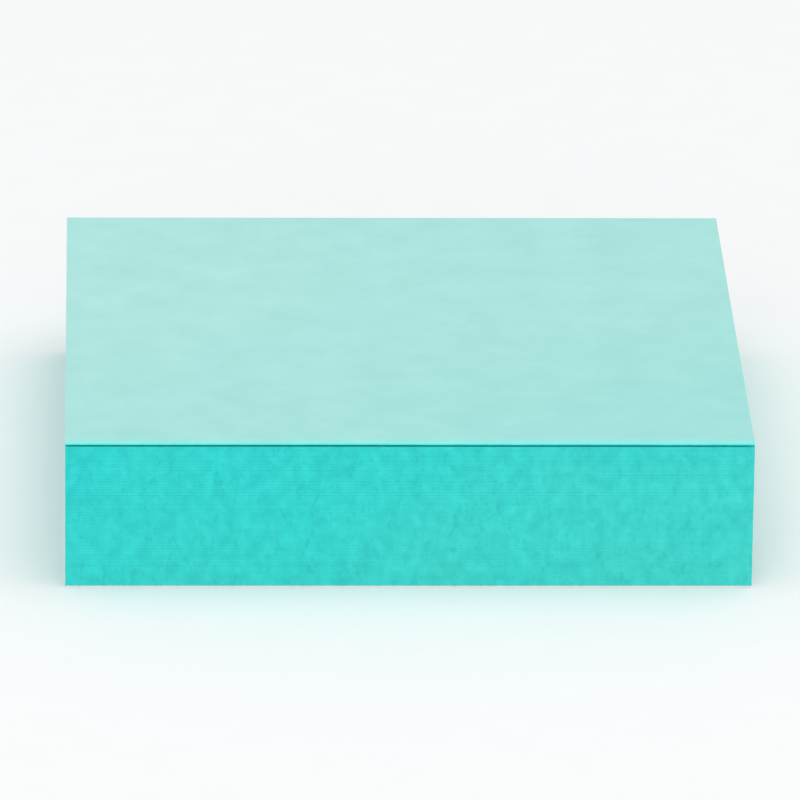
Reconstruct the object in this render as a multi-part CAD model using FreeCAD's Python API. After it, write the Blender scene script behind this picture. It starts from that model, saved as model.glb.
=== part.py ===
"""Sticky note pad: ninety square notes, bonded along one edge, on a backing sheet.

X runs across the pad, Y runs from the free edge to the glued edge, and Z is up.
The origin is the centre of the underside. All lengths are in millimetres.
"""
import FreeCAD
import Part

import math
import os

Vector = FreeCAD.Vector

# Sheets
NOTE_WIDTH = 47.6
NOTE_LENGTH = 47.6
NOTE_COUNT = 90
PAPER_THICKNESS = 0.105
BACKING_THICKNESS = 0.1

# Adhesive under each note, along the glued edge
ADHESIVE_WIDTH = 16.0
ADHESIVE_THICKNESS = 0.0095

# How the paper springs open towards the free edge
FREE_EDGE_OPENING = 0.07
TOP_NOTE_LIFT = 0.17

# How far the cut edge of a note may stand back from the square
CUT_WANDER = 0.03

# Turn from one note to the next in the cut pattern, so that no rhythm shows
CUT_TURN_FREE_EDGE = math.radians(137.5)
CUT_TURN_GLUED_EDGE = math.radians(99.0)

# Places that follow from the sizes
LEAF_PITCH = PAPER_THICKNESS + ADHESIVE_THICKNESS
LOWEST_NOTE_Z = BACKING_THICKNESS + ADHESIVE_THICKNESS
FREE_EDGE_Y = -NOTE_LENGTH / 2
GLUED_EDGE_Y = NOTE_LENGTH / 2
BOND_LINE_Y = GLUED_EDGE_Y - ADHESIVE_WIDTH
SIDE_X = NOTE_WIDTH / 2


def underside_z(note):
    """Height of a note's underside in the bonded strip; note 0 is the lowest."""
    return LOWEST_NOTE_Z + note * LEAF_PITCH


def free_edge_rise(note):
    """How far a note's free edge stands above its own bonded strip."""
    rise = FREE_EDGE_OPENING * (note + 1) / NOTE_COUNT
    if note == NOTE_COUNT - 1:
        rise += TOP_NOTE_LIFT
    return rise


def cut_setback(note, turn):
    """How far a note's cut edge stands back; the top note reaches the full square."""
    notes_below_top = NOTE_COUNT - 1 - note
    return CUT_WANDER * (1 - math.cos(turn * notes_below_top)) / 2


def free_edge_y(note):
    """Where a note's free edge lies."""
    return FREE_EDGE_Y + cut_setback(note, CUT_TURN_FREE_EDGE)


def glued_edge_y(note):
    """Where a note's glued edge lies."""
    return GLUED_EDGE_Y - cut_setback(note, CUT_TURN_GLUED_EDGE)


def free_leaf_points(note):
    """Section of one note's free leaf: out along its underside and back along its top."""
    bond_bottom = underside_z(note)
    tip_bottom = bond_bottom + free_edge_rise(note)
    tip_y = free_edge_y(note)
    return [
        Vector(0, BOND_LINE_Y, bond_bottom),
        Vector(0, tip_y, tip_bottom),
        Vector(0, tip_y, tip_bottom + PAPER_THICKNESS),
        Vector(0, BOND_LINE_Y, bond_bottom + PAPER_THICKNESS),
    ]


def bonded_edge_points(note):
    """Section of one note's glued edge, from above its adhesive film down to its underside."""
    edge_y = glued_edge_y(note)
    bottom = underside_z(note)
    is_top = note == NOTE_COUNT - 1
    top = bottom + PAPER_THICKNESS if is_top else underside_z(note + 1)
    return [Vector(0, edge_y, top), Vector(0, edge_y, bottom)]


def extrude_across(points):
    """Solid of the pad's full width from a closed section in the YZ plane."""
    section = Part.Face(Part.makePolygon(points + points[:1]))
    section.translate(Vector(-SIDE_X, 0, 0))
    return section.extrude(Vector(NOTE_WIDTH, 0, 0))


def note_block():
    """The ninety notes: one bonded strip with a free leaf for each note."""
    points = []
    for note in range(NOTE_COUNT):
        points += free_leaf_points(note)
    for note in reversed(range(NOTE_COUNT)):
        points += bonded_edge_points(note)
    return extrude_across(points)


def adhesive_strip():
    """The lowest note's adhesive, which holds the notes on the backing sheet."""
    length = glued_edge_y(0) - BOND_LINE_Y
    corner = Vector(-SIDE_X, BOND_LINE_Y, BACKING_THICKNESS)
    return Part.makeBox(NOTE_WIDTH, length, ADHESIVE_THICKNESS, corner)


def backing_sheet():
    """The bare sheet under the notes."""
    corner = Vector(-SIDE_X, FREE_EDGE_Y, 0)
    return Part.makeBox(NOTE_WIDTH, NOTE_LENGTH, BACKING_THICKNESS, corner)


NODES = {
    "note_block": note_block,
    "adhesive_strip": adhesive_strip,
    "backing_sheet": backing_sheet,
}

os.makedirs("parts", exist_ok=True)
for name, make in NODES.items():
    solid = make()
    solid.exportStep("parts/" + name + ".step")
    print(name, "valid" if solid.isValid() else "INVALID", round(solid.Volume, 3), "mm3")
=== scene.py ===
"""Dresses a sticky note pad: ninety teal notes on a white backing sheet, on a pale studio floor."""
import logging
import math
from dataclasses import dataclass, field, fields, replace
from enum import Enum
from typing import Any, ClassVar, Union

import bpy
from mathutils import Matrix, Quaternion, Vector


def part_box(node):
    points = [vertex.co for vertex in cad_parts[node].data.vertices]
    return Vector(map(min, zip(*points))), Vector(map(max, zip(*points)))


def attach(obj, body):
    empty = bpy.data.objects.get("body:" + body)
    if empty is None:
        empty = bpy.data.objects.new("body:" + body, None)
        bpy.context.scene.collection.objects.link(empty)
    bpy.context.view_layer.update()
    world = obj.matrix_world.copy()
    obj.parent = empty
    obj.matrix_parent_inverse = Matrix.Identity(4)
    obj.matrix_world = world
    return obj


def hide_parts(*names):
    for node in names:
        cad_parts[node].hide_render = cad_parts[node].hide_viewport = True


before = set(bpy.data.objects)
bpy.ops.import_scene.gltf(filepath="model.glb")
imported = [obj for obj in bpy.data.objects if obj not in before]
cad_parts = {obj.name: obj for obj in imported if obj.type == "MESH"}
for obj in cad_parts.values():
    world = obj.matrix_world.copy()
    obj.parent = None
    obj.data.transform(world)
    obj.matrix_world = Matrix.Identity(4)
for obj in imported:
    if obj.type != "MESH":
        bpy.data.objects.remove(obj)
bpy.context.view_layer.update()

log = logging.getLogger("note_pad")

MM = 0.001

# Attributes that the sheet tree leaves on the points of a stack
SHEET_NUMBER = "sheet_number"
SHEET_TONE = "sheet_tone"

Socket = bpy.types.NodeSocket
Feed = Union[Socket, float, int, str, tuple, bpy.types.Material]
Colour = tuple[float, float, float]
Factors = tuple[float, float, float]

# Factors that change nothing
EVEN: Factors = (1.0, 1.0, 1.0)


class Slot(Enum):
    """Material slots of the pad."""

    NOTE_PAPER = "note_paper"
    ADHESIVE = "adhesive"
    BACKING_PAPER = "backing_paper"


class Op(Enum):
    """Arithmetic that the node trees use."""

    ADD = "ADD"
    SUBTRACT = "SUBTRACT"
    MULTIPLY = "MULTIPLY"
    MULTIPLY_ADD = "MULTIPLY_ADD"
    DIVIDE = "DIVIDE"
    POWER = "POWER"
    ABSOLUTE = "ABSOLUTE"
    LESS_THAN = "LESS_THAN"
    GREATER_THAN = "GREATER_THAN"
    MAXIMUM = "MAXIMUM"


class Kind(Enum):
    """Socket types of the groups' inputs and outputs."""

    GEOMETRY = "NodeSocketGeometry"
    FLOAT = "NodeSocketFloat"
    INT = "NodeSocketInt"
    VECTOR = "NodeSocketVector"
    MATERIAL = "NodeSocketMaterial"


class Draw(Enum):
    """Random draws of a sheet, by the number that each adds to the seed."""

    LEFT_CUT = 1
    RIGHT_CUT = 2
    FREE_CUT = 3
    GLUED_CUT = 4
    SPRING = 5
    TONE = 6


class Graph:
    """A node tree under construction, with short calls for the nodes used most."""

    def __init__(self, tree: bpy.types.NodeTree) -> None:
        """Keeps the tree.

        Args:
            tree: the node tree that the calls add to.
        """
        self.tree = tree

    def socket(self, name: str, kind: Kind, direction: str = "INPUT") -> None:
        """Adds a named socket to the tree's interface.

        Args:
            name: the socket's name.
            kind: what it carries.
            direction: INPUT or OUTPUT.
        """
        self.tree.interface.new_socket(name=name, in_out=direction, socket_type=kind.value)

    def add(self, kind: str, **settings: Any) -> bpy.types.Node:
        """Adds a node.

        Args:
            kind: the node's type identifier.
            settings: properties of the node.

        Returns:
            The new node.
        """
        node = self.tree.nodes.new(kind)
        for name, value in settings.items():
            setattr(node, name, value)
        return node

    def feed(self, target: Socket, source: Feed) -> None:
        """Gives an input a link or a plain value.

        Args:
            target: the input socket.
            source: an output socket to link, or a value to set.
        """
        if isinstance(source, bpy.types.NodeSocket):
            self.tree.links.new(source, target)
        else:
            target.default_value = source

    def fill(self, node: bpy.types.Node, **inputs: Feed) -> Socket:
        """Feeds inputs by name, with an underscore for each space.

        Args:
            node: the node whose inputs are fed.
            inputs: links or values by input name.

        Returns:
            The node's first output in use, or None where it has no output.
        """
        for name, source in inputs.items():
            label = name.replace("_", " ")
            target = next(s for s in node.inputs if s.name == label and s.enabled)
            self.feed(target, source)
        return next((s for s in node.outputs if s.enabled), None)

    def math(self, operation: Op, *terms: Feed) -> Socket:
        """Adds one step of arithmetic.

        Args:
            operation: what is done with the terms.
            terms: links or numbers.

        Returns:
            The result's socket.
        """
        node = self.add("ShaderNodeMath", operation=operation.value)
        for target, term in zip(node.inputs, terms):
            self.feed(target, term)
        return node.outputs[0]

    def scaled(self, vector: Feed, factors: Feed) -> Socket:
        """Multiplies a vector by a vector, axis by axis.

        Args:
            vector: the vector's link.
            factors: the factors of the three axes.

        Returns:
            The product's socket.
        """
        node = self.add("ShaderNodeVectorMath", operation="MULTIPLY")
        self.feed(node.inputs[0], vector)
        self.feed(node.inputs[1], factors)
        return node.outputs[0]

    def axes(self, vector: Feed) -> Any:
        """Splits a vector.

        Args:
            vector: the vector's link.

        Returns:
            The X, Y and Z sockets.
        """
        node = self.add("ShaderNodeSeparateXYZ")
        self.feed(node.inputs[0], vector)
        return node.outputs

    def joined(self, **axes: Feed) -> Socket:
        """Joins X, Y and Z into a vector; an axis left out is zero."""
        return self.fill(self.add("ShaderNodeCombineXYZ"), **axes)

    def noise(self, place: Feed, size: float, squeeze: Factors = EVEN, detail: float = 2.0,
              roughness: float = 0.5) -> Socket:
        """Adds a noise texture.

        Args:
            place: where the noise is read.
            size: the size of its broadest features.
            squeeze: factors of the three axes; the features are long where a factor is small.
            detail: how many finer octaves are added.
            roughness: how strong the finer octaves are.

        Returns:
            The noise's value, about 0 to 1.
        """
        vector = place if squeeze == EVEN else self.scaled(place, squeeze)
        return self.fill(self.add("ShaderNodeTexNoise"), Vector=vector, Scale=1 / size, Detail=detail,
                         Roughness=roughness)

    def smooth_ramp(self, value: Socket, start: float, end: float, low: float = 0.0,
                    high: float = 1.0) -> Socket:
        """Turns a value into another with a soft start and end.

        Args:
            value: the value's link.
            start: the value where the ramp starts.
            end: the value where it ends.
            low: the result at its start.
            high: the result at its end.

        Returns:
            The result's socket.
        """
        node = self.add("ShaderNodeMapRange", interpolation_type="SMOOTHSTEP")
        return self.fill(node, Value=value, From_Min=start, From_Max=end, To_Min=low, To_Max=high)


@dataclass(frozen=True)
class PadSizes:
    """Sizes and places of the pad in metres, worked out from the CAD nodes."""

    note_count: int = 90
    paper: float = 0.105 * MM
    opening: float = 0.07 * MM

    @property
    def backing_box(self) -> tuple[Vector, Vector]:
        """Corners of the backing sheet."""
        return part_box("backing_sheet")

    @property
    def strip_box(self) -> tuple[Vector, Vector]:
        """Corners of the lowest adhesive strip."""
        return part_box("adhesive_strip")

    @property
    def width(self) -> float:
        """Width of a note."""
        low, high = self.backing_box
        return high.x - low.x

    @property
    def length(self) -> float:
        """Length of a note, from its free edge to its glued edge."""
        low, high = self.backing_box
        return high.y - low.y

    @property
    def glued_edge(self) -> float:
        """Y of the glued edge."""
        return self.backing_box[1].y

    @property
    def bond_line(self) -> float:
        """Y of the line where the bonded strip ends and the free leaf begins."""
        return self.strip_box[0].y

    @property
    def film(self) -> float:
        """Thickness of the adhesive film."""
        low, high = self.strip_box
        return high.z - low.z

    @property
    def pitch(self) -> float:
        """Height from one note to the next in the bonded strip."""
        return self.paper + self.film

    @property
    def lowest_note(self) -> float:
        """Z of the lowest note's underside."""
        return self.strip_box[1].z

    @property
    def top_rise(self) -> float:
        """How far the top note's free edge stands above its bonded strip."""
        bonded_top = self.lowest_note + self.note_count * self.pitch - self.film
        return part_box("note_block")[1].z - bonded_top


class TreeInputs:
    """Values for the sheet tree; each field of a subclass sets the tree input of the same name."""

    @staticmethod
    def label(name: str) -> str:
        """Name of the tree input that a field sets."""
        return name.replace("_", " ").title()

    @classmethod
    def names(cls, kind: type) -> list[str]:
        """Tree inputs of one type, in the order of the fields."""
        return [cls.label(item.name) for item in fields(cls) if item.type is kind]

    def values(self) -> dict[str, Feed]:
        """Values by tree input."""
        return {self.label(item.name): getattr(self, item.name) for item in fields(self)}


@dataclass(frozen=True)
class StackInputs(TreeInputs):
    """Sizes and counts of one stack of sheets."""

    width: float
    length: float
    thickness: float
    lowest_z: float
    free_edge_y: float
    bond_line_y: float
    centre_y: float = 0.0
    pitch: float = 0.0
    first_rise: float = 0.0
    rise_step: float = 0.0
    bend: float = 1.3
    spring: float = 0.0
    wave: float = 0.0
    cut_wander: float = 0.0
    cut_ripple: float = 0.0
    cut_swell: float = 0.0
    count: int = 1
    first_number: int = 0
    points_across: int = 25
    points_along: int = 9
    seed: int = 7


@dataclass(frozen=True)
class Dress(TreeInputs):
    """Finishes of one stack of sheets, by the way that a face looks."""

    face_material: bpy.types.Material
    under_material: bpy.types.Material
    edge_material: bpy.types.Material

    @classmethod
    def all_over(cls, material: bpy.types.Material) -> "Dress":
        """The same finish on every face."""
        return cls(material, material, material)


@dataclass
class SheetTree:
    """The geometry tree that stacks thin sheets, springs their free edges open and wanders their cuts."""

    name: str = "stacked_sheets"
    ripple_size: float = 2.5 * MM
    wave_size: float = 16 * MM
    border_share: float = 0.499
    steep_normal: float = 0.5
    graph: Graph = field(init=False)
    given: Any = field(init=False)

    def build(self) -> bpy.types.NodeTree:
        """Builds the tree with its named inputs.

        Returns:
            The geometry node tree.
        """
        graph = self.graph = Graph(bpy.data.node_groups.new(self.name, "GeometryNodeTree"))
        graph.socket("Geometry", Kind.GEOMETRY)
        for source, python_type, kind in ((StackInputs, float, Kind.FLOAT), (StackInputs, int, Kind.INT),
                                          (Dress, bpy.types.Material, Kind.MATERIAL)):
            for name in source.names(python_type):
                graph.socket(name, kind)
        graph.socket("Geometry", Kind.GEOMETRY, "OUTPUT")
        self.given = graph.add("NodeGroupInput").outputs

        dressed = self.dress(self.tone(self.shape(self.stack())))
        graph.fill(graph.add("NodeGroupOutput"), Geometry=dressed)
        return graph.tree

    def stack(self) -> Socket:
        """Stacks copies of one thin sheet and makes them real.

        Returns:
            The stack, with each sheet's number on its points.
        """
        graph, given = self.graph, self.given
        size = graph.joined(X=given["Width"], Y=given["Length"], Z=given["Thickness"])
        sheet = graph.fill(graph.add("GeometryNodeMeshCube"), Size=size, Vertices_X=given["Points Across"],
                           Vertices_Y=given["Points Along"], Vertices_Z=2)
        start = graph.joined(Y=given["Centre Y"], Z=self.middle_of_lowest())
        line = graph.fill(graph.add("GeometryNodeMeshLine", mode="OFFSET"), Count=given["Count"],
                          Start_Location=start, Offset=graph.joined(Z=given["Pitch"]))
        copies = graph.fill(graph.add("GeometryNodeInstanceOnPoints"), Points=line, Instance=sheet)
        index = graph.add("GeometryNodeInputIndex").outputs[0]
        number = graph.math(Op.ADD, index, given["First Number"])
        store = graph.add("GeometryNodeStoreNamedAttribute", data_type="FLOAT", domain="INSTANCE")
        numbered = graph.fill(store, Geometry=copies, Name=SHEET_NUMBER, Value=number)
        return graph.fill(graph.add("GeometryNodeRealizeInstances"), Geometry=numbered)

    def middle_of_lowest(self) -> Socket:
        """Height of the middle of the lowest sheet."""
        return self.graph.math(Op.MULTIPLY_ADD, self.given["Thickness"], 0.5, self.given["Lowest Z"])

    def number(self) -> Socket:
        """Each point's sheet number."""
        node = self.graph.add("GeometryNodeInputNamedAttribute", data_type="FLOAT")
        return self.graph.fill(node, Name=SHEET_NUMBER)

    def draw(self, which: Draw) -> Socket:
        """Draws a random number from 0 to 1 for each sheet.

        Args:
            which: what the number is drawn for.

        Returns:
            The drawn number's socket.
        """
        seed = self.graph.math(Op.ADD, self.given["Seed"], float(which.value))
        node = self.graph.add("FunctionNodeRandomValue", data_type="FLOAT")
        return self.graph.fill(node, Min=0.0, Max=1.0, ID=self.number(), Seed=seed)

    def share(self, place: Socket, size: Socket, centre: Feed = 0.0) -> Socket:
        """Turns a coordinate into a share of the sheet, 0 at its low edge and 1 at its high edge.

        Args:
            place: the coordinate.
            size: the sheet's size on that axis.
            centre: the sheet's middle on that axis.

        Returns:
            The share's socket.
        """
        centred = self.graph.math(Op.SUBTRACT, place, centre)
        return self.graph.math(Op.ADD, self.graph.math(Op.DIVIDE, centred, size), 0.5)

    def cut_shift(self, share: Socket, low_draw: Draw, high_draw: Draw, ripple: Socket) -> Socket:
        """Moves both cut edges of a sheet inwards, each by its own amount.

        Args:
            share: where a point lies between the two edges.
            low_draw: the draw for the low edge.
            high_draw: the draw for the high edge.
            ripple: how far the blade's ripple sets the edge back.

        Returns:
            The shift along that axis.
        """
        graph, wander = self.graph, self.given["Cut Wander"]
        low = graph.math(Op.MULTIPLY_ADD, self.draw(low_draw), wander, ripple)
        high = graph.math(Op.MULTIPLY_ADD, self.draw(high_draw), wander, ripple)
        inwards = graph.math(Op.MULTIPLY, low, graph.math(Op.SUBTRACT, 1.0, share))
        return graph.math(Op.SUBTRACT, inwards, graph.math(Op.MULTIPLY, high, share))

    def rise_shift(self, place: Socket, y: Socket, number: Socket) -> Socket:
        """Springs the free leaves open, the more the nearer they are to the free edge.

        Args:
            place: where a point lies.
            y: its place between the free edge and the glued edge.
            number: the sheet's number in its own stack.

        Returns:
            The shift along Z.
        """
        graph, given = self.graph, self.given
        reach = graph.math(Op.SUBTRACT, given["Bond Line Y"], y)
        free_length = graph.math(Op.SUBTRACT, given["Bond Line Y"], given["Free Edge Y"])
        free = graph.fill(graph.add("ShaderNodeClamp"), Value=graph.math(Op.DIVIDE, reach, free_length))
        bend = graph.math(Op.POWER, free, given["Bend"])
        rise = graph.math(Op.MULTIPLY_ADD, number, given["Rise Step"], given["First Rise"])
        spring = graph.math(Op.MULTIPLY, self.draw(Draw.SPRING), given["Spring"])
        flat_noise = graph.noise(place, self.wave_size, squeeze=(1.0, 1.0, 0.0), detail=1.0)
        wave = graph.math(Op.MULTIPLY, flat_noise, given["Wave"])
        lowered = graph.math(Op.SUBTRACT, graph.math(Op.SUBTRACT, rise, spring), wave)
        return graph.math(Op.MULTIPLY, lowered, bend)

    def swell_shift(self, z: Socket, number: Socket, shares: tuple[Socket, Socket]) -> Socket:
        """Thickens each sheet along its cut edges, where the blade tears the fibre up.

        Args:
            z: a point's height before the leaves spring open.
            number: the sheet's number in its own stack.
            shares: where the point lies between the edges, across and along.

        Returns:
            The shift along Z.
        """
        graph, given = self.graph, self.given
        middle = graph.math(Op.MULTIPLY_ADD, number, given["Pitch"], self.middle_of_lowest())
        face = graph.math(Op.DIVIDE, graph.math(Op.SUBTRACT, z, middle), given["Thickness"])
        across, along = (graph.math(Op.ABSOLUTE, graph.math(Op.SUBTRACT, share, 0.5)) for share in shares)
        at_edge = graph.math(Op.GREATER_THAN, graph.math(Op.MAXIMUM, across, along), self.border_share)
        return graph.math(Op.MULTIPLY, graph.math(Op.MULTIPLY, face, given["Cut Swell"]), at_edge)

    def shape(self, geometry: Socket) -> Socket:
        """Springs the free leaves open, and wanders and swells the cut edges.

        Args:
            geometry: the stack of flat sheets.

        Returns:
            The shaped stack.
        """
        graph, given = self.graph, self.given
        place = graph.add("GeometryNodeInputPosition").outputs[0]
        x, y, z = graph.axes(place)
        across = self.share(x, given["Width"])
        along = self.share(y, given["Length"], given["Centre Y"])
        ripple = graph.math(Op.MULTIPLY, graph.noise(place, self.ripple_size), given["Cut Ripple"])
        number = graph.math(Op.SUBTRACT, self.number(), given["First Number"])
        rise = self.rise_shift(place, y, number)
        swell = self.swell_shift(z, number, (across, along))
        shift = graph.joined(X=self.cut_shift(across, Draw.LEFT_CUT, Draw.RIGHT_CUT, ripple),
                             Y=self.cut_shift(along, Draw.FREE_CUT, Draw.GLUED_CUT, ripple),
                             Z=graph.math(Op.ADD, rise, swell))
        return graph.fill(graph.add("GeometryNodeSetPosition"), Geometry=geometry, Offset=shift)

    def tone(self, geometry: Socket) -> Socket:
        """Stores a random tone for each sheet, which its cut edge takes.

        Args:
            geometry: the shaped stack.

        Returns:
            The stack with the tone on its points.
        """
        store = self.graph.add("GeometryNodeStoreNamedAttribute", data_type="FLOAT", domain="POINT")
        return self.graph.fill(store, Geometry=geometry, Name=SHEET_TONE, Value=self.draw(Draw.TONE))

    def dress(self, geometry: Socket) -> Socket:
        """Gives the flat faces and the cut edges their materials.

        Args:
            geometry: the toned stack.

        Returns:
            The finished geometry.
        """
        graph, given = self.graph, self.given
        _, _, up = graph.axes(graph.add("GeometryNodeInputNormal").outputs[0])
        downward = graph.math(Op.LESS_THAN, up, -self.steep_normal)
        steep = graph.math(Op.LESS_THAN, graph.math(Op.ABSOLUTE, up), self.steep_normal)
        faces = graph.fill(graph.add("GeometryNodeSetMaterial"), Geometry=geometry,
                           Material=given["Face Material"])
        unders = graph.fill(graph.add("GeometryNodeSetMaterial"), Geometry=faces, Selection=downward,
                            Material=given["Under Material"])
        return graph.fill(graph.add("GeometryNodeSetMaterial"), Geometry=unders, Selection=steep,
                          Material=given["Edge Material"])


class ShaderGroup:
    """A shader node group with a pattern: built once, and placed in each finish that needs it."""

    name: ClassVar[str]
    takes: ClassVar[tuple[str, ...]] = ()
    gives: ClassVar[tuple[str, ...]]

    def tree(self) -> bpy.types.NodeTree:
        """Finds the group, or builds it on its first use.

        Returns:
            The group's node tree.
        """
        if self.name in bpy.data.node_groups:
            return bpy.data.node_groups[self.name]
        graph = Graph(bpy.data.node_groups.new(self.name, "ShaderNodeTree"))
        graph.socket("Vector", Kind.VECTOR)
        for name in self.takes:
            graph.socket(name, Kind.FLOAT)
        for name in self.gives:
            graph.socket(name, Kind.FLOAT, "OUTPUT")
        given = graph.add("NodeGroupInput").outputs
        pattern = self.pattern(graph, given["Vector"], given)
        graph.fill(graph.add("NodeGroupOutput"), **pattern)
        return graph.tree

    def pattern(self, graph: Graph, place: Socket, given: Any) -> dict[str, Socket]:
        """Builds the pattern's nodes.

        Args:
            graph: the group's graph.
            place: the coordinates that the group is given.
            given: all the group's inputs.

        Returns:
            The links of the group's outputs, by name.
        """
        raise NotImplementedError


@dataclass(frozen=True)
class FibreGroup(ShaderGroup):
    """The look of uncoated paper: clouds of fibre, single fibres, a drift of random dye patches with a
    painted sheen gradient across the sheet, and a fine tooth.
    """

    name: ClassVar[str] = "paper_fibre"
    takes: ClassVar[tuple[str, ...]] = ("Fibre Depth",)
    gives: ClassVar[tuple[str, ...]] = ("Cloud", "Fibre", "Drift", "Height")

    cloud_size: float = 3.5 * MM
    sway_size: float = 1.4 * MM
    sway: float = 0.5 * MM
    fibre_length: float = 0.9 * MM
    fibre_slimness: float = 7.0
    dye_patch: float = 30 * MM
    # Length of the painted sheen gradient across the sheet
    sheen_run: float = 90 * MM
    tooth_size: float = 0.16 * MM
    tooth_depth: float = 0.5

    def pattern(self, graph: Graph, place: Socket, given: Any) -> dict[str, Socket]:
        """Builds the paper's nodes.

        Args:
            graph: the group's graph.
            place: the coordinates that the group is given.
            given: all the group's inputs.

        Returns:
            The links of the group's outputs, by name.
        """
        swaying = graph.add("ShaderNodeTexNoise")
        graph.fill(swaying, Vector=place, Scale=1 / self.sway_size, Detail=1.0)
        bent = graph.add("ShaderNodeVectorMath", operation="MULTIPLY_ADD")
        reach = (self.sway, self.sway, 0.0)
        for target, source in zip(bent.inputs, (swaying.outputs["Color"], reach, place)):
            graph.feed(target, source)
        across, along = (graph.noise(bent.outputs[0], self.fibre_length, squeeze, detail=1.5)
                         for squeeze in ((1.0, self.fibre_slimness, 1.0), (self.fibre_slimness, 1.0, 1.0)))
        fibre = graph.math(Op.MULTIPLY, graph.math(Op.ADD, across, along), 0.5)

        # Drift: random dye patches plus a painted sheen gradient that slants across the sheet, palest at
        # the back left
        x, y, _ = graph.axes(place)
        slant = graph.math(Op.SUBTRACT, x, y)
        patchy = graph.noise(place, self.dye_patch)
        tooth = graph.noise(place, self.tooth_size, roughness=0.6)
        deep = graph.math(Op.MULTIPLY, fibre, given["Fibre Depth"])
        return {
            "Cloud": graph.noise(place, self.cloud_size, detail=3.0, roughness=0.6),
            "Fibre": fibre,
            "Drift": graph.math(Op.MULTIPLY_ADD, slant, 1 / self.sheen_run, patchy),
            "Height": graph.math(Op.MULTIPLY_ADD, tooth, self.tooth_depth, deep),
        }


@dataclass(frozen=True)
class RimGroup(ShaderGroup):
    """The rim of a square sheet along the edge that stands free, 1 at the edge and 0 inside; it masks a
    painted glow.
    """

    name: ClassVar[str] = "sheet_rim"
    takes: ClassVar[tuple[str, ...]] = ("Half Size", "Band")
    gives: ClassVar[tuple[str, ...]] = ("Rim",)

    ragged_size: float = 0.7 * MM
    ragged_share: float = 0.4
    fade: tuple[float, float] = (0.2, 1.2)

    def pattern(self, graph: Graph, place: Socket, given: Any) -> dict[str, Socket]:
        """Builds the rim's nodes.

        Args:
            graph: the group's graph.
            place: the coordinates that the group is given.
            given: all the group's inputs.

        Returns:
            The links of the group's outputs, by name.
        """
        _, y, _ = graph.axes(place)
        from_edge = graph.math(Op.ADD, given["Half Size"], y)
        share = graph.math(Op.DIVIDE, from_edge, given["Band"])
        ragged = graph.noise(place, self.ragged_size)
        uneven = graph.math(Op.MULTIPLY_ADD, ragged, self.ragged_share, share)
        return {"Rim": graph.smooth_ramp(uneven, *self.fade, low=1.0, high=0.0)}


@dataclass(frozen=True)
class CutGroup(ShaderGroup):
    """The guillotined side of a stack: knife streaks, torn fibre, small nicks, and a drift of random dye
    patches with a painted sheen that grows towards the bottom and the right.
    """

    name: ClassVar[str] = "guillotine_cut"
    gives: ClassVar[tuple[str, ...]] = ("Streak", "Mottle", "Drift", "Height")

    broad_size: float = 1.2 * MM
    broad_squeeze: Factors = (1.0, 1.0, 0.45)
    fine_size: float = 0.42 * MM
    fine_squeeze: Factors = (1.0, 1.0, 0.65)
    fine_share: float = 0.35
    nick_range: tuple[float, float] = (0.57, 0.7)
    nick_depth: float = 0.34
    mottle_size: float = 0.85 * MM
    mottle_squeeze: Factors = (1.0, 1.0, 0.85)
    dye_patch: float = 12 * MM
    sheen_run_across: float = 70 * MM
    sheen_run_down: float = 20 * MM
    middle_height: float = 5.2 * MM
    fuzz_size: float = 0.07 * MM
    fuzz_depth: float = 0.6

    def pattern(self, graph: Graph, place: Socket, given: Any) -> dict[str, Socket]:
        """Builds the cut side's nodes.

        Args:
            graph: the group's graph.
            place: the coordinates that the group is given.
            given: all the group's inputs; not used.

        Returns:
            The links of the group's outputs, by name.
        """
        broad = graph.noise(place, self.broad_size, self.broad_squeeze)
        fine = graph.noise(place, self.fine_size, self.fine_squeeze, detail=1.0)
        knife = graph.math(Op.MULTIPLY_ADD, graph.math(Op.SUBTRACT, fine, broad), self.fine_share, broad)
        nick = graph.smooth_ramp(fine, *self.nick_range)
        streak = graph.math(Op.MULTIPLY_ADD, nick, -self.nick_depth, knife)

        x, _, z = graph.axes(place)
        # Drift: random dye patches plus a painted sheen gradient, growing towards the bottom and towards +X
        patchy = graph.noise(place, self.dye_patch)
        sideways = graph.math(Op.MULTIPLY_ADD, x, 1 / self.sheen_run_across, patchy)
        below_middle = graph.math(Op.SUBTRACT, self.middle_height, z)
        fuzz = graph.noise(place, self.fuzz_size, detail=1.0)
        return {
            "Streak": streak,
            "Mottle": graph.noise(place, self.mottle_size, self.mottle_squeeze),
            "Drift": graph.math(Op.MULTIPLY_ADD, below_middle, 1 / self.sheen_run_down, sideways),
            "Height": graph.math(Op.MULTIPLY_ADD, fuzz, self.fuzz_depth, streak),
        }


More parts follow.
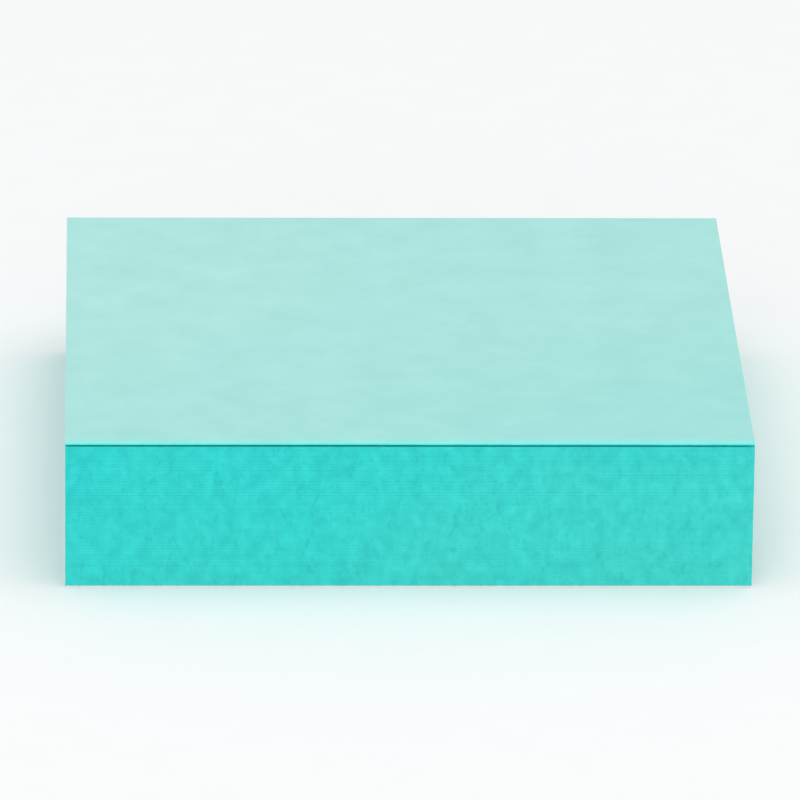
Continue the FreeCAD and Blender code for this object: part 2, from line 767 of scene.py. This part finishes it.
@dataclass(frozen=True)
class Finish:
    """What every finish shares: a name, a roughness and a gloss, set on the shader's own sockets."""

    name: str
    roughness: float = 0.85
    specular: float = 0.3

    def start(self) -> tuple[bpy.types.Material, Graph, bpy.types.Node, Socket]:
        """Makes an empty material with its shader and its coordinates.

        Returns:
            The material, its graph, its Principled shader and the Object coordinates.
        """
        material = bpy.data.materials.new(self.name)
        material.use_nodes = True
        material.node_tree.nodes.clear()
        graph = Graph(material.node_tree)
        shader = graph.add("ShaderNodeBsdfPrincipled")
        graph.fill(shader, Roughness=self.roughness, Specular_IOR_Level=self.specular)
        graph.fill(graph.add("ShaderNodeOutputMaterial"), Surface=shader.outputs[0])
        return material, graph, shader, graph.add("ShaderNodeTexCoord").outputs["Object"]

    def place_group(self, graph: Graph, group: ShaderGroup, **inputs: Feed) -> Any:
        """Places a shader group in the material.

        Args:
            graph: the material's graph.
            group: the group.
            inputs: links or values by input name.

        Returns:
            The group's outputs.
        """
        node = graph.add("ShaderNodeGroup", node_tree=group.tree())
        graph.fill(node, **inputs)
        return node.outputs

    def blend_tones(self, graph: Graph, factor: Socket, low: Colour, high: Colour, spread: float) -> Socket:
        """Blends two tones where a pattern swings about its middle.

        Args:
            graph: the material's graph.
            factor: the pattern, about 0 to 1.
            low: the tone at the pattern's low end.
            high: the tone at the pattern's high end.
            spread: how far from the middle the pattern is read.

        Returns:
            The colour's socket.
        """
        ramp = graph.fill(graph.add("ShaderNodeMapRange"), Value=factor, From_Min=0.5 - spread,
                          From_Max=0.5 + spread)
        return graph.fill(graph.add("ShaderNodeMix", data_type="RGBA"), Factor=ramp, A=(*low, 1.0),
                          B=(*high, 1.0))

    def tint(self, graph: Graph, colour: Socket, factor: Socket, amount: float) -> Socket:
        """Lightens and darkens a colour by a pattern.

        Args:
            graph: the material's graph.
            colour: the colour's link.
            factor: the pattern, about 0 to 1.
            amount: how far the colour's strength swings.

        Returns:
            The colour's socket.
        """
        swing = graph.math(Op.MULTIPLY_ADD, factor, amount, 1.0 - amount / 2)
        node = graph.add("ShaderNodeVectorMath", operation="SCALE")
        graph.feed(node.inputs[0], colour)
        graph.feed(node.inputs["Scale"], swing)
        return node.outputs[0]

    def stain(self, graph: Graph, colour: Socket, mask: Socket, gain: Factors) -> Socket:
        """Multiplies a colour, channel by channel, where a mask is strong.

        Args:
            graph: the material's graph.
            colour: the colour's link.
            mask: where the gain applies, about 0 to 1.
            gain: the factors of the three channels at the mask's full strength.

        Returns:
            The colour's socket.
        """
        mix = graph.add("ShaderNodeMix", data_type="VECTOR")
        return graph.scaled(colour, graph.fill(mix, Factor=mask, A=EVEN, B=gain))

    def roughen(self, graph: Graph, shader: bpy.types.Node, factor: Socket, swing: float) -> None:
        """Lets the roughness swing about the finish's own by a pattern.

        Args:
            graph: the material's graph.
            shader: the Principled shader.
            factor: the pattern, about 0 to 1.
            swing: how far the roughness swings.
        """
        rough = graph.math(Op.MULTIPLY_ADD, factor, swing, self.roughness - swing / 2)
        graph.fill(shader, Roughness=rough)

    def bump(self, graph: Graph, shader: bpy.types.Node, height: Socket, depth: float) -> None:
        """Gives the shader a relief.

        Args:
            graph: the material's graph.
            shader: the Principled shader.
            height: the relief's height, about 0 to 1.
            depth: the relief's depth in metres.
        """
        relief = graph.fill(graph.add("ShaderNodeBump"), Strength=1.0, Distance=depth, Height=height)
        graph.fill(shader, Normal=relief)


@dataclass(frozen=True)
class PaperFace(Finish):
    """The flat face of uncoated paper."""

    thin: Colour = (0.5, 0.5, 0.5)
    thick: Colour = (0.6, 0.6, 0.6)
    tone_spread: float = 0.3
    # Gain along the drift: random dye patches and a painted sheen gradient
    sheen_and_dye_drift: Factors = EVEN
    # Gain of the painted glow along the free edge
    rim_glow_gain: Factors = EVEN
    rim_band: float = 1.4 * MM
    half_size: float = 23.8 * MM
    fibre_depth: float = 1.0
    fibre_tint: float = 0.05
    rough_swing: float = 0.12
    relief: float = 0.004 * MM

    def material(self) -> bpy.types.Material:
        """Builds the paper face.

        Returns:
            The material.
        """
        material, graph, shader, place = self.start()
        paper = self.place_group(graph, FibreGroup(), Vector=place, Fibre_Depth=self.fibre_depth)
        rim_glow = self.place_group(graph, RimGroup(), Vector=place, Half_Size=self.half_size,
                                   Band=self.rim_band)
        cloudy = self.blend_tones(graph, paper["Cloud"], self.thin, self.thick, self.tone_spread)
        # Painted sheen: the drift pales the face towards the back left, over random dye patches
        drifted = self.stain(graph, cloudy, paper["Drift"], self.sheen_and_dye_drift)
        # Painted glow: a brighter, more saturated band along the top note's free edge, standing for light
        # through the sheet's edge
        rimmed = self.stain(graph, drifted, rim_glow["Rim"], self.rim_glow_gain)
        graph.fill(shader, Base_Color=self.tint(graph, rimmed, paper["Fibre"], self.fibre_tint))
        self.roughen(graph, shader, paper["Fibre"], self.rough_swing)
        self.bump(graph, shader, paper["Height"], self.relief)
        return material


@dataclass(frozen=True)
class CutEdge(Finish):
    """The guillotined edges of a stack of paper."""

    dark: Colour = (0.3, 0.3, 0.3)
    light: Colour = (0.4, 0.4, 0.4)
    tone_spread: float = 0.25
    sheen_and_dye_drift: Factors = EVEN
    streak_tint: float = 0.27
    sheet_tint: float = 0.015
    rough_swing: float = 0.1
    relief: float = 0.006 * MM

    def material(self) -> bpy.types.Material:
        """Builds the cut edge.

        Returns:
            The material.
        """
        material, graph, shader, place = self.start()
        cut = self.place_group(graph, CutGroup(), Vector=place)
        sheet = graph.add("ShaderNodeAttribute", attribute_name=SHEET_TONE)
        mottled = self.blend_tones(graph, cut["Mottle"], self.dark, self.light, self.tone_spread)
        # Painted sheen: the drift pales the teal towards the bottom and the right, over random dye patches
        drifted = self.stain(graph, mottled, cut["Drift"], self.sheen_and_dye_drift)
        streaked = self.tint(graph, drifted, cut["Streak"], self.streak_tint)
        graph.fill(shader, Base_Color=self.tint(graph, streaked, sheet.outputs["Fac"], self.sheet_tint))
        self.roughen(graph, shader, cut["Mottle"], self.rough_swing)
        self.bump(graph, shader, cut["Height"], self.relief)
        return material


@dataclass(frozen=True)
class AdhesiveFilm(Finish):
    """A thin film of removable adhesive, cloudy with its small beads."""

    clear: Colour = (0.5, 0.7, 0.68)
    cloudy: Colour = (0.6, 0.78, 0.75)
    tone_spread: float = 0.25
    patch_size: float = 0.8 * MM
    bead_size: float = 0.09 * MM
    rough_swing: float = 0.2
    relief: float = 0.004 * MM

    def material(self) -> bpy.types.Material:
        """Builds the adhesive film.

        Returns:
            The material.
        """
        material, graph, shader, place = self.start()
        patches = graph.noise(place, self.patch_size)
        beads = graph.fill(graph.add("ShaderNodeTexVoronoi"), Vector=place, Scale=1 / self.bead_size)
        colour = self.blend_tones(graph, patches, self.clear, self.cloudy, self.tone_spread)
        graph.fill(shader, Base_Color=colour)
        self.roughen(graph, shader, patches, self.rough_swing)
        self.bump(graph, shader, beads, self.relief)
        return material


@dataclass(frozen=True)
class StudioFloor(Finish):
    """A plain pale floor with a hardly visible grain."""

    base: Colour = (0.86, 0.86, 0.86)
    grain_shade: float = 0.985
    grain_size: float = 4 * MM
    tone_spread: float = 0.3

    def material(self) -> bpy.types.Material:
        """Builds the floor's finish.

        Returns:
            The material.
        """
        material, graph, shader, place = self.start()
        grain = graph.noise(place, self.grain_size, detail=3.0)
        darker = tuple(self.grain_shade * channel for channel in self.base)
        graph.fill(shader, Base_Color=self.blend_tones(graph, grain, darker, self.base, self.tone_spread))
        return material


@dataclass
class NotePad:
    """The pad: its leaves, its top note, the films between them and the backing sheet."""

    sizes: PadSizes
    tree: bpy.types.NodeTree
    inner_notes: Dress
    outer_note: Dress
    backing_paper: Dress
    adhesive: Dress
    cut_wander: float = 0.01 * MM
    cut_ripple: float = 0.012 * MM
    cut_swell: float = 0.005 * MM
    spring: float = 0.003 * MM
    top_wave: float = 0.06 * MM
    film_setback: float = 0.04 * MM

    def make(self, name: str, inputs: StackInputs, dress: Dress, replaced: str) -> None:
        """Runs the tree once and turns its result into a plain piece.

        Args:
            name: the piece's name.
            inputs: the stack's sizes.
            dress: the stack's finishes.
            replaced: the CAD node that the piece stands for.
        """
        piece = bpy.data.objects.new(name, bpy.data.meshes.new(name))
        bpy.context.scene.collection.objects.link(piece)
        modifier = piece.modifiers.new("sheets", "NODES")
        modifier.node_group = self.tree
        identifiers = {item.name: item.identifier for item in self.tree.interface.items_tree
                       if item.in_out == "INPUT"}
        for label, value in {**inputs.values(), **dress.values()}.items():
            modifier[identifiers[label]] = value
        evaluated = piece.evaluated_get(bpy.context.evaluated_depsgraph_get())
        mesh = bpy.data.meshes.new_from_object(evaluated)
        piece.modifiers.remove(modifier)
        mesh.name = name
        piece.data = mesh
        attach(piece, "root")
        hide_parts(replaced)
        heights = [vertex.co.z / MM for vertex in mesh.vertices]
        log.info("%s: %d faces, z %.3f to %.3f mm", name, len(mesh.polygons), min(heights), max(heights))

    def full_note(self) -> StackInputs:
        """Gathers the sizes of one note.

        Returns:
            The lowest note, alone and flat.
        """
        sizes = self.sizes
        return StackInputs(
            width=sizes.width,
            length=sizes.length,
            thickness=sizes.paper,
            lowest_z=sizes.lowest_note,
            free_edge_y=sizes.glued_edge - sizes.length,
            bond_line_y=sizes.bond_line,
        )

    def build_leaves(self) -> None:
        """Builds every note under the top one, as one piece."""
        step = self.sizes.opening / self.sizes.note_count
        inputs = replace(self.full_note(), pitch=self.sizes.pitch, count=self.sizes.note_count - 1,
                         first_rise=step, rise_step=step, spring=self.spring, cut_wander=self.cut_wander,
                         cut_ripple=self.cut_ripple, cut_swell=self.cut_swell)
        self.make("note_leaves", inputs, self.inner_notes, "note_block")

    def build_top_note(self) -> None:
        """Builds the top note, whose free edge stands up a little."""
        below = self.sizes.note_count - 1
        inputs = replace(self.full_note(), lowest_z=self.sizes.lowest_note + below * self.sizes.pitch,
                         first_rise=self.sizes.top_rise, wave=self.top_wave, first_number=below,
                         points_across=49, points_along=49)
        self.make("top_note", inputs, self.outer_note, "note_block")

    def build_films(self) -> None:
        """Builds the adhesive films between the notes, as one piece."""
        sizes = self.sizes
        length = sizes.glued_edge - sizes.bond_line - 2 * self.film_setback
        inputs = replace(self.full_note(), width=sizes.width - 2 * self.film_setback, length=length,
                         thickness=sizes.film, centre_y=(sizes.glued_edge + sizes.bond_line) / 2,
                         lowest_z=sizes.lowest_note + sizes.paper, pitch=sizes.pitch,
                         count=sizes.note_count - 1, cut_ripple=self.cut_ripple, points_across=13,
                         points_along=5)
        self.make("adhesive_films", inputs, self.adhesive, "note_block")

    def build_backing(self) -> None:
        """Builds the backing sheet."""
        low, high = self.sizes.backing_box
        inputs = replace(self.full_note(), lowest_z=low.z, thickness=high.z - low.z,
                         cut_ripple=self.cut_ripple)
        self.make("backing_paper", inputs, self.backing_paper, "backing_sheet")

    def dress_strip(self) -> None:
        """Gives the CAD strip under the lowest note its finish."""
        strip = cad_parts["adhesive_strip"]
        strip.data.materials.clear()
        strip.data.materials.append(self.adhesive.face_material)
        log.info("adhesive_strip: carried over with %s", self.adhesive.face_material.name)

    def build(self) -> None:
        """Builds every piece of the pad."""
        self.build_leaves()
        self.build_top_note()
        self.build_films()
        self.build_backing()
        self.dress_strip()


@dataclass(frozen=True)
class SoftLight:
    """A square softbox that faces the pad."""

    name: str
    place: tuple[float, float, float]
    size: float
    power: float

    def build(self) -> None:
        """Hangs the light and turns it to the origin."""
        data = bpy.data.lights.new(self.name, "AREA")
        data.shape = "SQUARE"
        data.size = self.size
        data.energy = self.power
        lamp = bpy.data.objects.new(self.name, data)
        lamp.location = self.place
        lamp.rotation_euler = (-lamp.location).to_track_quat("-Z", "Y").to_euler()
        bpy.context.scene.collection.objects.link(lamp)
        log.info("%s: %.1f W", self.name, self.power)


@dataclass(frozen=True)
class Camera:
    """The photograph's view of the pad: the place it was taken from, with the free edge level."""

    left: float = 21.7 * MM
    in_front: float = 683.0 * MM
    above: float = 258.5 * MM
    aim: tuple[float, float, float] = (0.0, 0.0, 5.0 * MM)
    level: float = math.radians(0.67)
    lens: float = 460.0
    sensor: float = 36.0

    def build(self) -> None:
        """Sets up the camera and makes it the scene's."""
        data = bpy.data.cameras.new("camera")
        data.lens = self.lens
        data.sensor_width = self.sensor
        camera = bpy.data.objects.new("camera", data)
        camera.location = (-self.left, -self.in_front, self.above)
        aim = (Vector(self.aim) - camera.location).to_track_quat("-Z", "Y")
        camera.rotation_euler = (aim @ Quaternion((0.0, 0.0, 1.0), self.level)).to_euler()
        bpy.context.scene.collection.objects.link(camera)
        bpy.context.scene.camera = camera


@dataclass(frozen=True)
class Studio:
    """The pale floor, the soft lights and the air around the pad."""

    floor_size: float = 20.0
    floor_drop: float = 0.02 * MM
    world_colour: Colour = (0.98, 0.99, 1.0)
    world_strength: float = 0.68
    lights: tuple[SoftLight, ...] = (
        SoftLight("overhead_softbox", (0.1, -0.2, 1.2), size=1.4, power=8.1),
        SoftLight("front_softbox", (-0.3, -1.6, 0.7), size=1.2, power=7.2),
    )

    def build(self) -> None:
        """Lays the floor, hangs the lights and fills the air."""
        self.lay_floor()
        for light in self.lights:
            light.build()
        world = bpy.data.worlds.new("studio_air")
        world.use_nodes = True
        background = world.node_tree.nodes["Background"]
        background.inputs["Color"].default_value = (*self.world_colour, 1.0)
        background.inputs["Strength"].default_value = self.world_strength
        bpy.context.scene.world = world
        bpy.context.scene.view_settings.view_transform = "Standard"

    def lay_floor(self) -> None:
        """Lays the floor just under the pad."""
        half = self.floor_size / 2
        corners = [(-half, -half), (half, -half), (half, half), (-half, half)]
        mesh = bpy.data.meshes.new("floor")
        mesh.from_pydata([(x, y, -self.floor_drop) for x, y in corners], [], [(0, 1, 2, 3)])
        mesh.materials.append(StudioFloor("studio_floor").material())
        floor = bpy.data.objects.new("floor", mesh)
        bpy.context.scene.collection.objects.link(floor)


def note_dresses(half_size: float) -> tuple[Dress, Dress]:
    """Builds the finishes of the teal notes.

    Args:
        half_size: half the length of a note.

    Returns:
        What the inner notes and the top note wear.
    """
    # The top face is a paler copy of the paper that the hidden faces wear: partly the sheet's own lighter
    # face, partly painted sheen of the overhead light seen at a grazing angle
    face = PaperFace("note_face_and_sheen", thin=(0.354, 0.663, 0.618), thick=(0.412, 0.724, 0.679),
                     sheen_and_dye_drift=(0.854, 0.971, 0.98), rim_glow_gain=(0.74, 1.12, 1.13), half_size=half_size)
    inner = PaperFace("note_inner", specular=0.1, thin=(0.06, 0.68, 0.63), thick=(0.08, 0.74, 0.69))
    # The edge's drift gain paints a sheen that pales the teal towards the bottom and the right
    edge = CutEdge("note_edge", specular=0.1, dark=(0.0252, 0.575, 0.545), light=(0.0393, 0.688, 0.66),
                   sheen_and_dye_drift=(1.75, 1.005, 0.95))
    # The top note's cut edges wear a brighter copy of the edge finish: a painted highlight along them
    rim = CutEdge("note_rim_highlight", specular=0.1, dark=(0.05, 0.7, 0.65), light=(0.08, 0.84, 0.79))
    hidden_face = inner.material()
    return (Dress(hidden_face, hidden_face, edge.material()),
            Dress(face.material(), hidden_face, rim.material()))


def backing_dress() -> Dress:
    """Builds the finishes of the white backing sheet.

    Returns:
        What the backing sheet wears.
    """
    face = PaperFace("backing_face", thin=(0.8, 0.8, 0.78), thick=(0.84, 0.84, 0.82)).material()
    edge = CutEdge("backing_edge", dark=(0.76, 0.76, 0.74), light=(0.82, 0.82, 0.8)).material()
    return Dress(face, face, edge)


def main() -> None:
    """Builds the studio and the pad, and reports each piece."""
    logging.basicConfig(level=logging.INFO, format="%(name)s: %(message)s")
    Camera().build()
    Studio().build()
    sizes = PadSizes()
    inner_notes, outer_note = note_dresses(sizes.length / 2)
    pad = NotePad(
        sizes=sizes,
        tree=SheetTree().build(),
        inner_notes=inner_notes,
        outer_note=outer_note,
        backing_paper=backing_dress(),
        adhesive=Dress.all_over(AdhesiveFilm("adhesive_film", roughness=0.5, specular=0.4).material()),
    )
    pad.build()


if __name__ == "__main__":
    main()
